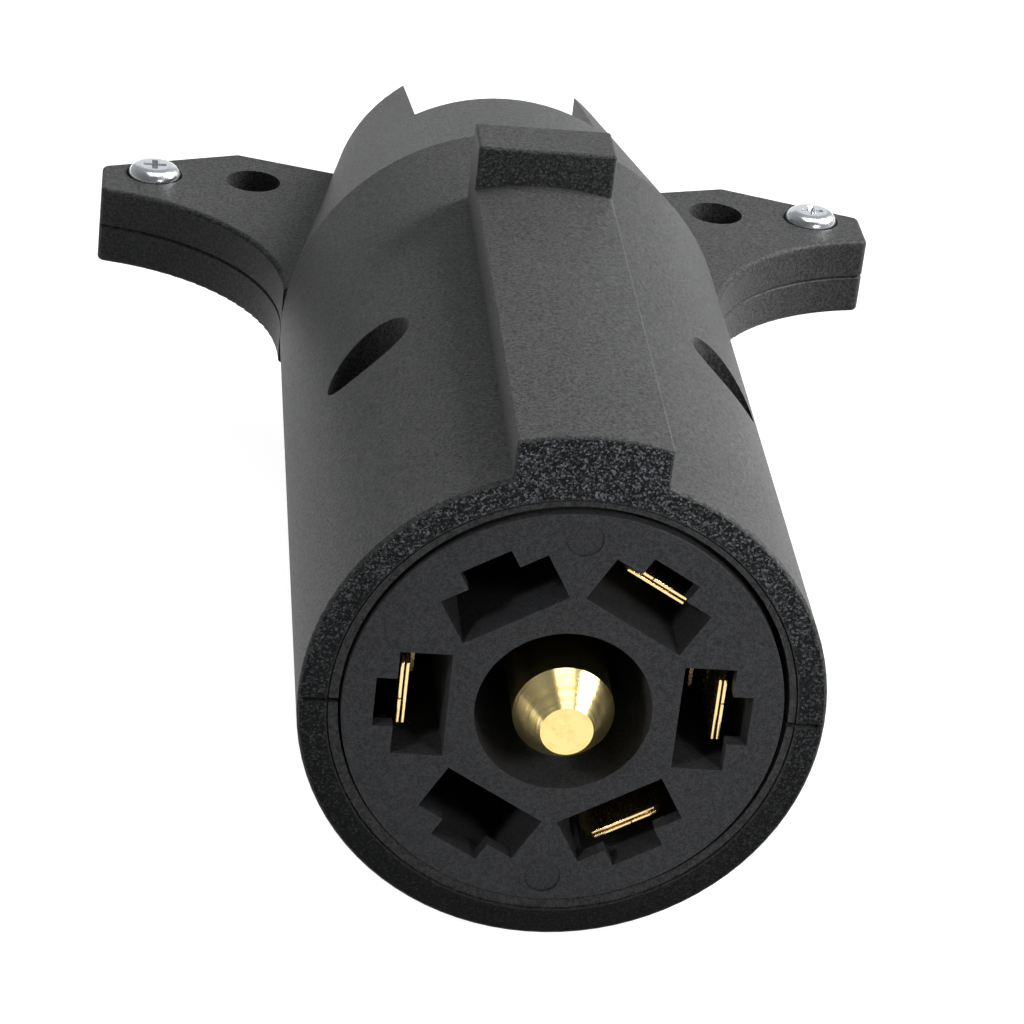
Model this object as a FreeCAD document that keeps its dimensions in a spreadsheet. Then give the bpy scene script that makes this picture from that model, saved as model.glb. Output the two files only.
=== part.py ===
import FreeCAD, Part
import math
import os
import Sketcher

# Seven-way blade plug adapter with two finger wings and a four-pole round socket at its rear.
# Millimetres.  +X right, +Y from the plug face towards the rear, +Z up.  The origin is the
# centre of the plug face, on the barrel's axis.

doc = FreeCAD.newDocument("wiring_adapter")
sheet = doc.addObject("Spreadsheet::Sheet", "Sizes")
V = FreeCAD.Vector

SIZES = {
    # contact cavities of the front insert, from the inside out
    "slot_half_width": 4.63, "slot_web": 1.2306, "slot_depth": 4.19, "stem_half_width": 2.2,
    "stem_depth": 1.65, "insert_rim": 2.61, "slot_plate": 1.2, "well_wall": 2.12,
    # front insert lengths, its flange, marks and retainer
    "insert_length": 23.0, "insert_proud": 0.15, "well_floor": 5.0, "flange_rise": 1.2,
    "flange_inset": 6.0, "flange_width": 3.0, "mark_radius": 1.5, "mark_inset": 2.2,
    "mark_depth": 0.15, "insert_edge_round": 0.1, "retainer_thickness": 2.0,
    "stop_rib_height": 3.25, "stop_rib_width": 1.5,
    # barrel
    "barrel_length": 70.5, "insert_gap": 0.35, "shell_wall": 3.15, "bore_rise": 0.2,
    "bore_shift": 0.1, "lip_width": 0.8, "lip_depth": 0.12, "lip_groove_width": 0.14,
    "lip_groove_depth": 0.5, "split_gap": 0.45, "split_lip": 0.5, "split_depth": 3.0,
    # key rib and hook on top
    "rib_half_width": 6.15, "rib_rise": 3.1, "rib_foot": 1.2, "hook_inset": 20.2,
    "hook_length": 5.9, "hook_rise": 3.3,
    # wings: hollowed front edge, then distances from the tip and from the rear end
    "wing_half_height": 3.93, "wing_arc_radius": 21.8, "wing_arc_sweep": 79.5,
    "wing_tip_depth": 6.4, "wing_knee_out": 4.1, "wing_knee_inset": 1.1, "wing_root_in": 3.2,
    "wing_root_inset": 5.5, "wing_hole_out": 2.6, "wing_hole_inset": 8.3,
    "wing_hole_radius": 2.75, "wing_screw_edge": 2.577, "wing_screw_inset": 5.45,
    "wing_corner_round": 0.8, "wing_edge_round": 0.45,
    # rear end behind the wings' hollow, and the notch over the socket
    "rear_run": 12.7, "rear_wall": 2.25, "notch_half_width": 8.9, "notch_length": 17.5,
    "notch_floor": 5.0,
    # softened edges of the mouldings
    "edge_round": 0.3, "rear_round": 0.4, "parting_chamfer": 0.2,
    # centre pin with its washer and nut
    "pin_radius": 4.08, "pin_tip_taper": 1.96, "pin_tip_length": 3.0, "pin_lead": 0.2,
    "stud_radius": 2.5, "washer_radius": 4.4, "washer_thickness": 0.8, "nut_flats": 8.0,
    "nut_thickness": 3.2, "stud_end_gap": 1.2,
    # spring contacts and their terminals
    "leaf_sheet": 0.27, "leaf_gap": 0.08, "leaf_inset": 0.68, "leaf_half_width": 2.75,
    "leaf_front": 1.5, "pivot_inset": 3.4, "bead_radius": 0.45, "ear_out": 0.55, "ear_rise": 0.8,
    "ear_tuck": 0.1, "ear_length": 5.0, "block_length": 3.6, "block_lead": 1.35, "block_in": 1.54,
    "block_out": 0.76, "tongue_front": 9.0, "tongue_in": 2.09, "tongue_sheet": 0.3,
    "tongue_share": 0.8, "tail_in": 2.84, "tail_radius": 1.2, "tail_run": 3.0,
    "running_gap": 0.06,
    # rear four-pole insert and pins
    "socket_radius": 12.95, "socket_depth": 13.0, "rear_insert_length": 14.0,
    "rear_flange_rise": 1.65, "rear_flange_inset": 2.0, "rear_flange_width": 3.0,
    "bore_end_gap": 4.0, "pole_circle": 6.6, "pole_radius": 2.1, "pole_length": 10.0,
    "pole_collar_rise": 0.8, "pole_collar_width": 1.5, "pole_tail_radius": 1.3,
    "pole_tail_run": 6.0, "pole_nose": 0.945, "pole_slit": 0.6, "pole_slit_depth": 7.5,
    # screws
    "barrel_screw_back": 8.1, "boss_wall": 0.8, "boss_clear": 0.8, "barrel_head_radius": 2.9,
    "barrel_head_height": 2.1, "barrel_head_seat": 6.0, "barrel_shank_radius": 1.5,
    "barrel_shank_end": -9.0, "counterbore_gap": 0.3, "wing_head_radius": 2.65,
    "wing_head_height": 1.9, "wing_head_sink": 0.9, "wing_head_gap": 0.2,
    "wing_shank_radius": 1.4, "wing_shank_floor": 1.03, "barrel_pilot_end": 0.5,
    "wing_pilot_end": 0.2, "crown_share": 0.45, "crown_flat": 0.72, "point_share": 0.4,
    "point_length": 1.2, "cross_width": 0.75, "cross_span": 3.2, "cross_depth": 1.0,
    # wires
    "wire_radius": 1.05, "wire_first_run": 6.0, "wire_relax_less": 0.05,
    # clearances, and how far pieces that are joined run into each other
    "fit_gap": 0.1, "thread_gap": 0.02, "join_bite": 0.5,
}

for row, (alias, number) in enumerate(SIZES.items(), start=1):
    sheet.set(f"A{row}", alias)
    sheet.set(f"B{row}", str(number))
    sheet.setAlias(f"B{row}", alias)
doc.recompute()


class Size:
    """A number kept together with the spreadsheet expression that gives it."""

    def __init__(self, number, text):
        self.number = float(number)
        self.text = text

    def __float__(self):
        return self.number

    def __add__(self, other):
        other = size(other)
        return Size(self.number + other.number, f"({self.text} + {other.text})")

    def __sub__(self, other):
        other = size(other)
        return Size(self.number - other.number, f"({self.text} - {other.text})")

    def __mul__(self, other):
        other = size(other)
        return Size(self.number * other.number, f"({self.text} * {other.text})")

    def __truediv__(self, other):
        other = size(other)
        return Size(self.number / other.number, f"({self.text} / {other.text})")

    def __neg__(self):
        return Size(-self.number, f"(-1 * {self.text})")

    def __rmul__(self, other):
        return size(other) * self

    def __radd__(self, other):
        return size(other) + self

    def __rsub__(self, other):
        return size(other) - self


def size(thing):
    if isinstance(thing, Size):
        return thing
    if isinstance(thing, str):
        return Size(float(sheet.get(thing)), f"Sizes.{thing}")
    return Size(thing, f"({float(thing):.6f})")


def cosine(degrees):
    return Size(math.cos(math.radians(float(degrees))), f"cos({degrees.text} * 1 deg)")


def sine(degrees):
    return Size(math.sin(math.radians(float(degrees))), f"sin({degrees.text} * 1 deg)")


S = {alias: size(alias) for alias in SIZES}

# sizes that follow from the plain ones: outwards from the contact cavities
S["slot_inner"] = S["slot_web"] + S["slot_half_width"] * math.sqrt(3)
S["slot_outer"] = S["slot_inner"] + S["slot_depth"]
S["stem_outer"] = S["slot_outer"] + S["stem_depth"]
S["well_radius"] = S["slot_inner"] - S["well_wall"]
S["insert_radius"] = S["stem_outer"] + S["insert_rim"]
S["mark_reach"] = S["insert_radius"] - S["mark_inset"]
S["bore_radius"] = S["insert_radius"] + S["insert_gap"]
S["lip_radius"] = S["bore_radius"] + S["lip_width"]
S["stop_rib_inner"] = S["bore_radius"] - S["stop_rib_height"]
S["barrel_radius"] = S["bore_radius"] + S["shell_wall"]
S["rib_radius"] = S["barrel_radius"] + S["rib_rise"]
S["hook_top"] = S["rib_radius"] + S["hook_rise"]
S["leaf_mid_radius"] = S["slot_outer"] - S["leaf_inset"]
S["block_inner"] = S["slot_outer"] - S["block_in"]
S["block_outer"] = S["slot_outer"] + S["block_out"]
S["tongue_inner"] = S["slot_outer"] - S["tongue_in"]
S["tail_reach"] = S["slot_outer"] - S["tail_in"]
S["pin_tip_radius"] = S["pin_radius"] - S["pin_tip_taper"]
S["boss_radius"] = S["barrel_head_radius"] + S["counterbore_gap"] + S["boss_wall"]
S["barrel_screw_reach"] = S["tail_reach"] + S["boss_clear"] + S["boss_radius"]
S["rear_radius"] = S["socket_radius"] + S["rear_wall"]
S["rear_flange_radius"] = S["socket_radius"] + S["rear_flange_rise"]
S["pole_collar_radius"] = S["pole_radius"] + S["pole_collar_rise"]
S["wire_relax"] = S["wire_radius"] - S["wire_relax_less"]

# backwards from the plug face
S["well_depth"] = S["insert_length"] - S["well_floor"]
S["flange_front"] = S["insert_length"] - S["flange_inset"]
S["leaf_pivot"] = S["insert_length"] - S["pivot_inset"]
S["retainer_back"] = S["insert_length"] + S["retainer_thickness"]
S["stop_rib_back"] = S["retainer_back"] + S["stop_rib_width"]
S["tail_end"] = S["retainer_back"] + S["tail_run"]
S["barrel_screw_depth"] = S["stop_rib_back"] + S["barrel_screw_back"]
S["hook_front"] = S["barrel_length"] - S["hook_inset"]
S["taper_length"] = S["wing_arc_radius"] + S["rear_run"]
S["total_length"] = S["barrel_length"] + S["taper_length"]

# forwards from the rear end
S["notch_front"] = S["total_length"] - S["notch_length"]
S["rear_insert_face"] = S["total_length"] - S["socket_depth"]
S["rear_insert_front"] = S["rear_insert_face"] - S["rear_insert_length"]
S["rear_flange_front"] = S["rear_insert_front"] + S["rear_flange_inset"]
S["pole_tail_front"] = S["rear_insert_front"] - S["pole_tail_run"]
S["bore_length"] = S["rear_insert_front"] - S["bore_end_gap"]

# wings
S["wing_centre_x"] = S["barrel_radius"] + S["wing_arc_radius"]
S["wing_tip_x"] = S["wing_centre_x"] + S["wing_arc_radius"] * cosine(180 - S["wing_arc_sweep"])
S["wing_tip_y"] = S["barrel_length"] + S["wing_arc_radius"] * sine(180 - S["wing_arc_sweep"])
S["wing_knee_reach"] = S["barrel_radius"] + S["wing_knee_out"]
S["wing_knee_depth"] = S["total_length"] - S["wing_knee_inset"]
S["wing_root_reach"] = S["rear_radius"] - S["wing_root_in"]
S["wing_root_depth"] = S["total_length"] - S["wing_root_inset"]
S["wing_hole_reach"] = S["barrel_radius"] + S["wing_hole_out"]
S["wing_hole_depth"] = S["total_length"] - S["wing_hole_inset"]
S["wing_screw_reach"] = S["wing_tip_x"] - S["wing_screw_edge"] - S["wing_head_radius"]
S["wing_screw_depth"] = S["total_length"] - S["wing_screw_inset"] - S["wing_head_radius"]
S["wing_shank_end"] = S["wing_shank_floor"] - S["wing_half_height"]


def bind(obj, path, value):
    """Ties one property of an object to the sheet."""
    obj.setExpression(path, size(value).text)


def place(obj, x=0, y=0, z=0, rotation=None):
    """Puts an object at a bound position, with an optional fixed rotation."""
    if rotation is not None:
        obj.Placement = FreeCAD.Placement(V(0, 0, 0), rotation)
    for path, value in (("x", x), ("y", y), ("z", z)):
        bind(obj, f"Placement.Base.{path}", value)
    return obj


ALONG_Y = FreeCAD.Rotation(V(1, 0, 0), -90)


def rod(name, radius, start, end, x=0, z=0):
    """A round bar along Y from start to end."""
    bar = doc.addObject("Part::Cylinder", name)
    bind(bar, "Radius", radius)
    bind(bar, "Height", size(end) - size(start))
    return place(bar, x, start, z, ALONG_Y)


def post(name, radius, bottom, top, x=0, y=0):
    """A round bar along Z from bottom to top."""
    bar = doc.addObject("Part::Cylinder", name)
    bind(bar, "Radius", radius)
    bind(bar, "Height", size(top) - size(bottom))
    return place(bar, x, y, bottom)


def taper(name, radius_start, radius_end, start, end):
    """A cone along Y."""
    cone = doc.addObject("Part::Cone", name)
    bind(cone, "Radius1", radius_start)
    bind(cone, "Radius2", radius_end)
    bind(cone, "Height", size(end) - size(start))
    return place(cone, 0, start, 0, ALONG_Y)


def block(name, x, y, z):
    """A box given by its lowest and highest X, Y and Z."""
    box = doc.addObject("Part::Box", name)
    for path, (low, high) in (("Length", x), ("Width", y), ("Height", z)):
        bind(box, path, size(high) - size(low))
    return place(box, x[0], y[0], z[0])


def fuse(name, pieces):
    joined = doc.addObject("Part::MultiFuse", name)
    joined.Shapes = pieces
    joined.Refine = True
    return joined


def cut(name, base, tool):
    rest = doc.addObject("Part::Cut", name)
    rest.Base = base
    rest.Tool = tool
    rest.Refine = True
    return rest


def common(name, base, tool):
    both = doc.addObject("Part::MultiCommon", name)
    both.Shapes = [base, tool]
    both.Refine = True
    return both


def mirrored(name, source):
    """The same piece on the other side of the YZ plane."""
    other = doc.addObject("Part::Mirroring", name)
    other.Source = source
    other.Base = V(0, 0, 0)
    other.Normal = V(1, 0, 0)
    return other


def group(name, pieces):
    """Identical separate solids kept in one node."""
    several = doc.addObject("Part::Compound", name)
    several.Links = pieces
    return several


def both_sides(name, piece):
    return group(name, [piece, mirrored(name + "_left", piece)])


def new_body(name):
    return doc.addObject("PartDesign::Body", name)


def sketch_on(body, role, name):
    """An empty sketch on one of a body's own origin planes."""
    sketch = body.newObject("Sketcher::SketchObject", name)
    plane = [f for f in body.Origin.OriginFeatures if f.Role == role][0]
    sketch.AttachmentSupport = [(plane, "")]
    sketch.MapMode = "FlatFace"
    return sketch


def pin_point(sketch, edge, end, x, y):
    """Bound distances from the sketch's origin to one end of an edge; None leaves one free."""
    for kind, value in (("DistanceX", x), ("DistanceY", y)):
        if value is None:
            continue
        value = size(value)
        index = sketch.addConstraint(Sketcher.Constraint(kind, -1, 1, edge, end, value.number))
        sketch.setExpression(f"Constraints[{index}]", value.text)


def draw_outline(sketch, corners):
    """A closed outline of straight runs through bound corners."""
    corners = [(size(x), size(y)) for x, y in corners]
    count = len(corners)
    flat = [V(x.number, y.number, 0) for x, y in corners]
    first = sketch.GeometryCount
    for n in range(count):
        sketch.addGeometry(Part.LineSegment(flat[n], flat[(n + 1) % count]), False)
    for n in range(count):
        follow = first + (n + 1) % count
        sketch.addConstraint(Sketcher.Constraint("Coincident", first + n, 2, follow, 1))
        pin_point(sketch, first + n, 1, *corners[n])


def draw_circle(sketch, radius, x=0, y=0):
    radius = size(radius)
    centre = V(size(x).number, size(y).number, 0)
    edge = sketch.addGeometry(Part.Circle(centre, V(0, 0, 1), radius.number), False)
    index = sketch.addConstraint(Sketcher.Constraint("Radius", edge, radius.number))
    sketch.setExpression(f"Constraints[{index}]", radius.text)
    pin_point(sketch, edge, 3, x, y)


def pad(body, sketch, name, length, reverse=False, both_ways=False):
    feature = body.newObject("PartDesign::Pad", name)
    feature.Profile = sketch
    bind(feature, "Length", length)
    feature.Reversed = reverse
    feature.Midplane = both_ways
    doc.recompute()
    return feature


def pocket(body, sketch, name, length, reverse=False):
    """A pocket that must take material away."""
    before = body.Shape.Volume
    feature = body.newObject("PartDesign::Pocket", name)
    feature.Profile = sketch
    bind(feature, "Length", length)
    feature.Reversed = reverse
    doc.recompute()
    if feature.Shape.Volume > before - 1e-6:
        raise RuntimeError(name + " removes nothing")
    return feature


def between(low, high, bounds, slack=0.02):
    """Whether low and high both lie inside the two bounds."""
    return low > float(bounds[0]) - slack and high < float(bounds[1]) + slack


def edges_inside(shape, x, y, z):
    """Names of the edges that lie in a box, counting both sides of the YZ plane."""
    found = []
    for number, edge in enumerate(shape.Edges, start=1):
        box = edge.BoundBox
        reach = sorted((abs(box.XMin), abs(box.XMax)))
        if box.XMin < -0.1 and box.XMax > 0.1:
            reach[0] = 0
        if between(*reach, x) and between(box.YMin, box.YMax, y) and between(box.ZMin, box.ZMax, z):
            found.append(f"Edge{number}")
    return found


def dress(body, kind, name, radius, edges):
    """A fillet or chamfer on named edges; it must change the solid and leave it valid."""
    if not edges:
        raise RuntimeError(name + " finds no edges")
    before = body.Shape.Volume
    base = body.Tip
    feature = body.newObject("PartDesign::" + kind, name)
    feature.Base = (base, edges)
    bind(feature, "Radius" if kind == "Fillet" else "Size", radius)
    body.Tip = feature
    doc.recompute()
    if abs(feature.Shape.Volume - before) < 1e-6 or not feature.Shape.isValid():
        raise RuntimeError(name + " fails")


def round_pattern(body, feature, name, count):
    """The feature repeated about the Y axis."""
    pattern = body.newObject("PartDesign::PolarPattern", name)
    pattern.Originals = [feature]
    axis = [f for f in body.Origin.OriginFeatures if f.Role == "Y_Axis"][0]
    pattern.Axis = (axis, [""])
    pattern.Angle = 360
    pattern.Occurrences = count
    body.Tip = pattern
    doc.recompute()
    return pattern


def revolve(name, corners):
    """A turned solid about Y, from half of its section given as (radius, Y) corners."""
    body = new_body(name)
    sketch = sketch_on(body, "XY_Plane", name + "_section")
    draw_outline(sketch, corners)
    feature = body.newObject("PartDesign::Revolution", name + "_turned")
    feature.Profile = sketch
    feature.ReferenceAxis = (sketch, ["V_Axis"])
    feature.Angle = 360
    doc.recompute()
    return body


def turn_about_axis(obj, degrees):
    """Turns a piece about the barrel's axis, anticlockwise seen from the plug face."""
    obj.Placement = FreeCAD.Placement(V(0, 0, 0), FreeCAD.Rotation(V(0, -1, 0), degrees))
    return obj


nodes = []


def finish(obj, label):
    """Registers a finished sub-part under its own label."""
    obj.Label = label
    nodes.append(obj)


side = S["barrel_radius"] * 3
total_length = S["total_length"]

# ---------------------------------------------------------------------------------------------
# Housing: two moulded shells that meet on the horizontal plane through the axis
# ---------------------------------------------------------------------------------------------


def wing_plate():
    """One flat wing: a hollowed front edge, a blunt tip and a kneed back edge."""
    body = new_body("wing_plate")
    sketch = sketch_on(body, "XY_Plane", "wing_outline")
    centre_x, tip_x, tip_y = S["wing_centre_x"], S["wing_tip_x"], S["wing_tip_y"]
    angle = math.pi - math.radians(float(S["wing_arc_sweep"]))
    back_y = tip_y + S["wing_tip_depth"]
    centre = V(centre_x.number, S["barrel_length"].number, 0)
    circle = Part.Circle(centre, V(0, 0, 1), float(S["wing_arc_radius"]))
    arc = sketch.addGeometry(Part.ArcOfCircle(circle, angle, math.pi), False)
    corners = [
        (S["barrel_radius"], S["barrel_length"]),
        (S["wing_root_reach"], S["barrel_length"]),
        (S["wing_root_reach"], S["wing_root_depth"]),
        (S["wing_knee_reach"], S["wing_knee_depth"]),
        (tip_x, back_y),
        (tip_x, tip_y),
    ]
    flat = [V(float(x), float(y), 0) for x, y in corners]
    lines = [sketch.addGeometry(Part.LineSegment(flat[n], flat[n + 1]), False) for n in range(5)]
    join = Sketcher.Constraint
    sketch.addConstraint(join("Coincident", arc, 2, lines[0], 1))
    for n in range(4):
        sketch.addConstraint(join("Coincident", lines[n], 2, lines[n + 1], 1))
    sketch.addConstraint(join("Coincident", lines[4], 2, arc, 1))
    pin_point(sketch, lines[0], 1, None, S["barrel_length"])
    for n in range(1, 5):
        pin_point(sketch, lines[n], 1, *corners[n])
    pin_point(sketch, lines[4], 2, *corners[5])
    pin_point(sketch, arc, 3, centre_x, S["barrel_length"])
    pad(body, sketch, "wing_pad", S["wing_half_height"] * 2, both_ways=True)
    half = S["wing_half_height"]
    beyond = S["barrel_radius"] + 1
    upright = [name for name in edges_inside(body.Tip.Shape, (beyond, side), (0, side * 2), (-half, half))
               if body.Tip.Shape.getElement(name).BoundBox.ZLength > float(half)]
    dress(body, "Fillet", "wing_corners", S["wing_corner_round"], upright)
    rims = []
    for level in (half, -half):
        rims += edges_inside(body.Tip.Shape, (S["wing_root_reach"] + 1, side), (0, side * 2), (level, level))
        root_edge = edges_inside(body.Tip.Shape, (S["wing_root_reach"], S["wing_knee_reach"]),
                                 (S["wing_root_depth"], side * 2), (level, level))
        rims += [name for name in root_edge if name not in rims]
    dress(body, "Fillet", "wing_rims", S["wing_edge_round"], rims)
    return body


def housing_block():
    """The closed outside of both shells together, hollowed and ribbed, not yet split."""
    right_wing = wing_plate()
    cover = S["rib_radius"]
    rib_blank = rod("rib_round", cover, 0, S["hook_front"])
    half = S["rib_half_width"]
    rib = common("rib", rib_blank, block("rib_sides", (-half, half), (0, S["hook_front"]),
                                         (S["barrel_radius"] / 2, cover * 2)))
    hook = block("hook", (-half, half), (S["hook_front"], S["hook_front"] + S["hook_length"]),
                 (S["barrel_radius"] / 2, S["hook_top"]))
    barrel = rod("barrel", S["barrel_radius"], 0, S["barrel_length"])
    outside = fuse("outside", [
        barrel,
        taper("rear_taper", S["barrel_radius"], S["rear_radius"], S["barrel_length"], total_length),
        right_wing, mirrored("left_wing", right_wing), rib, hook,
    ])
    insert_flange = S["insert_radius"] + S["flange_rise"] + S["fit_gap"]
    flange_back = S["flange_front"] + S["flange_width"]
    rear_flange_back = S["rear_flange_front"] + S["rear_flange_width"]
    hollow = fuse("hollow", [
        rod("bore", S["bore_radius"], -1, S["bore_length"], x=S["bore_shift"], z=S["bore_rise"]),
        rod("face_lip", S["lip_radius"], -1, S["lip_depth"]),
        cut("lip_groove", rod("lip_groove_round", S["lip_radius"], -1, S["lip_groove_depth"]),
            rod("lip_groove_core", S["lip_radius"] - S["lip_groove_width"], -2,
                S["lip_groove_depth"] + 1)),
        rod("insert_groove", insert_flange, S["flange_front"], flange_back),
        rod("socket_bore", S["socket_radius"], S["bore_length"] - 1, total_length + 1),
        rod("socket_groove", S["rear_flange_radius"] + S["fit_gap"], S["rear_flange_front"],
            rear_flange_back),
    ])
    stop_front, stop_back = S["retainer_back"], S["stop_rib_back"]
    stop_rib = cut("stop_rib", rod("stop_rib_round", S["bore_radius"] + 1, stop_front, stop_back),
                   rod("stop_rib_hole", S["stop_rib_inner"], stop_front - 1, stop_back + 1))
    boss = post("boss_right", S["boss_radius"], -side, side, S["barrel_screw_reach"],
                S["barrel_screw_depth"])
    bosses = common("bosses", fuse("boss_posts", [boss, mirrored("boss_left", boss)]), barrel)
    return fuse("housing", [cut("hollow_housing", outside, hollow), stop_rib, bosses])


def shell_half(name, housing, bottom, top, cuts):
    """One half of the housing with its holes cut, its parting edges broken and its rims soft."""
    half = common(name + "_blank", housing,
                  block(name + "_space", (-side, side), (-1, total_length + 1), (bottom, top)))
    raw = cut(name + "_raw", half, fuse(name + "_cuts", cuts))
    body = body_on(name, raw)
    parting = edges_inside(body.Tip.Shape, (S["barrel_radius"], side), (S["barrel_length"], side * 2),
                           (0, 0))
    parting = [edge for edge in parting if not is_screw_hole(body.Tip.Shape.getElement(edge))]
    dress(body, "Chamfer", name + "_parting", S["parting_chamfer"], parting)
    rim = edges_inside(body.Tip.Shape, (0, S["barrel_radius"]), (0, 0), (-side, side))
    rim = [edge for edge in rim if is_circle(body.Tip.Shape.getElement(edge), S["barrel_radius"])]
    if top is side:
        half_rib = S["rib_half_width"]
        base = S["barrel_radius"] - S["rib_foot"]
        rim += edges_inside(body.Tip.Shape, (0, half_rib), (0, 0), (base, S["rib_radius"]))
        rim += edges_inside(body.Tip.Shape, (half_rib, half_rib), (0, S["hook_front"]),
                            (S["barrel_radius"] + S["join_bite"], S["rib_radius"]))
        hook_back = S["hook_front"] + S["hook_length"]
        rim += edges_inside(body.Tip.Shape, (0, half_rib), (S["hook_front"], hook_back),
                            (S["hook_top"], S["hook_top"]))
        rim += edges_inside(body.Tip.Shape, (half_rib, half_rib), (S["hook_front"], S["hook_front"]),
                            (S["barrel_radius"], S["hook_top"]))
        rim += edges_inside(body.Tip.Shape, (half_rib, half_rib), (hook_back, hook_back),
                            (base, S["hook_top"]))
    dress(body, "Fillet", name + "_rims", S["edge_round"], sorted(set(rim)))
    end = edges_inside(body.Tip.Shape, (0, S["rear_radius"]), (total_length, total_length),
                       (-side, side))
    end = [edge for edge in end if is_circle(body.Tip.Shape.getElement(edge), S["rear_radius"])]
    dress(body, "Fillet", name + "_rear_rim", S["rear_round"], end)
    finish(body, name)


def body_on(name, source):
    """A body that starts from the single solid of a boolean result, ready for dressing."""
    doc.recompute()
    if len(source.Shape.Solids) != 1:
        raise RuntimeError(name + " isn't one solid")
    start = doc.addObject("Part::Feature", name + "_solid")
    start.Shape = source.Shape.Solids[0].copy()
    start.Placement = FreeCAD.Placement()
    body = new_body(name + "_body")
    body.BaseFeature = start
    doc.recompute()
    return body


def is_screw_hole(edge):
    """Whether an edge is the rim of a wing screw's hole."""
    return isinstance(edge.Curve, Part.Circle) and edge.isClosed() and (
        edge.Curve.Radius < float(S["wing_hole_radius"]) - float(S["join_bite"]))


def is_circle(edge, radius):
    return isinstance(edge.Curve, Part.Circle) and abs(edge.Curve.Radius - float(radius)) < 0.01


def build_shells():
    housing = housing_block()
    screw_x = S["barrel_screw_reach"]
    screw_y = S["barrel_screw_depth"]
    tip_x = S["wing_screw_reach"]
    tip_y = S["wing_screw_depth"]
    notch = block("notch", (-S["notch_half_width"], S["notch_half_width"]),
                  (S["notch_front"], total_length + 1), (S["notch_floor"], side))
    wing_hole = post("wing_hole", S["wing_hole_radius"], -side, side, S["wing_hole_reach"],
                     S["wing_hole_depth"])
    head_room = S["barrel_head_radius"] + S["counterbore_gap"]
    wing_seat = S["wing_half_height"] - S["wing_head_sink"]
    loose = S["fit_gap"] * 2
    upper = [
        post("barrel_counterbore", head_room, S["barrel_head_seat"], side, screw_x, screw_y),
        post("barrel_clear_hole", S["barrel_shank_radius"] + loose, -1, side, screw_x, screw_y),
        post("wing_counterbore", S["wing_head_radius"] + S["wing_head_gap"], wing_seat, side,
             tip_x, tip_y),
        post("wing_clear_hole", S["wing_shank_radius"] + loose, -1, side, tip_x, tip_y),
        wing_hole,
    ]
    upper += [mirrored(piece.Name + "_left", piece) for piece in upper]
    shell_half("upper_shell", housing, 0, side, upper + [notch])
    inner = S["bore_radius"] - 1
    outer = S["barrel_radius"] - S["split_lip"]
    lower = [
        post("barrel_pilot_hole", S["barrel_shank_radius"] + S["thread_gap"],
             S["barrel_shank_end"] - S["barrel_pilot_end"], 1, screw_x, screw_y),
        post("wing_pilot_hole", S["wing_shank_radius"] + S["thread_gap"],
             S["wing_shank_end"] - S["wing_pilot_end"], 1, tip_x, tip_y),
        block("split_relief", (inner, outer), (-1, S["split_depth"]), (-S["split_gap"], 1)),
    ]
    lower += [mirrored(piece.Name + "_left", piece) for piece in lower]
    lower += [post("lower_wing_hole", S["wing_hole_radius"], -side, side, S["wing_hole_reach"],
                   S["wing_hole_depth"])]
    lower += [mirrored("lower_wing_hole_left", lower[-1])]
    shell_half("lower_shell", housing, -side, 0, lower)


# ---------------------------------------------------------------------------------------------
# Front insert: six T-shaped contact cavities round a deep well for the centre pin
# ---------------------------------------------------------------------------------------------


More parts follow.
